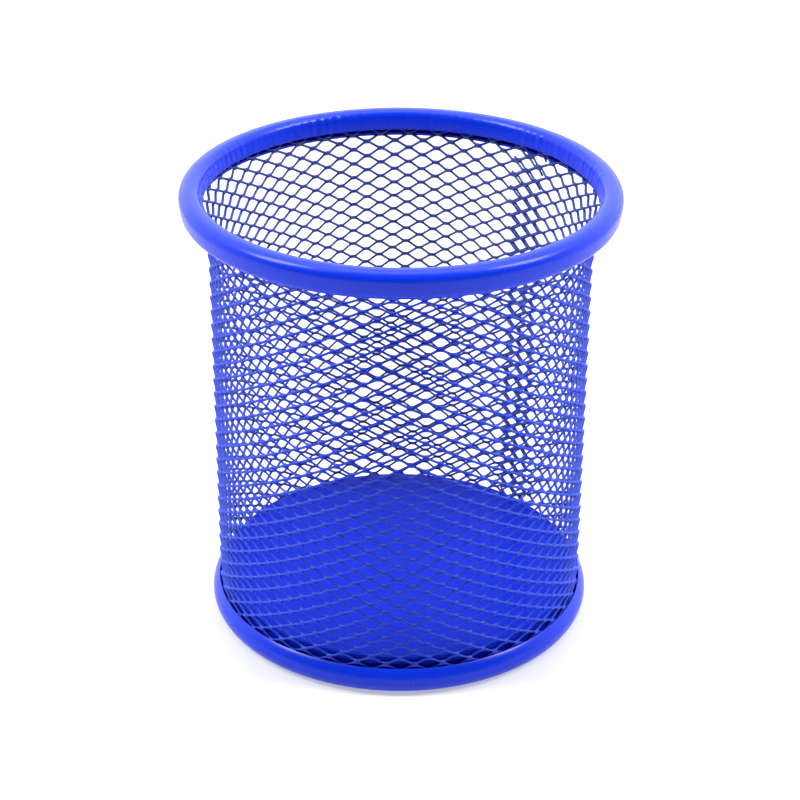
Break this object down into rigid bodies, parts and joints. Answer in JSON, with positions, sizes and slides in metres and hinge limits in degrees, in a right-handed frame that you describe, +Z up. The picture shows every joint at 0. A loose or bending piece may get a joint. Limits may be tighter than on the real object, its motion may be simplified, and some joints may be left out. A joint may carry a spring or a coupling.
{
  "type": "mesh pen holder cup",
  "caption": "Round pen cup with an expanded-steel mesh sleeve, a hollow rolled rim, a solid floor pan and a folded base ring.",
  "frame": {"origin": "centre of the base ring's foot, on the surface the cup stands on", "axes": "+Z up along the cup's axis of revolution; -Y is the front, +X the right, and the sleeve's overlapped seam is at the back right"},
  "size_m": [0.0924, 0.0924, 0.1],
  "materials": {
    "rolled_band": "glossy royal blue powder coat on rolled steel strip",
    "expanded_mesh": "semi-gloss royal blue powder coat on expanded steel",
    "floor_sheet": "semi-gloss royal blue powder coat on pressed steel sheet"
  },
  "bodies": {
    "root": {"rim_bead": "rolled_band", "mesh_sleeve": "expanded_mesh", "base_pan": "floor_sheet", "base_ring": "rolled_band"}
  },
  "joints": []
}
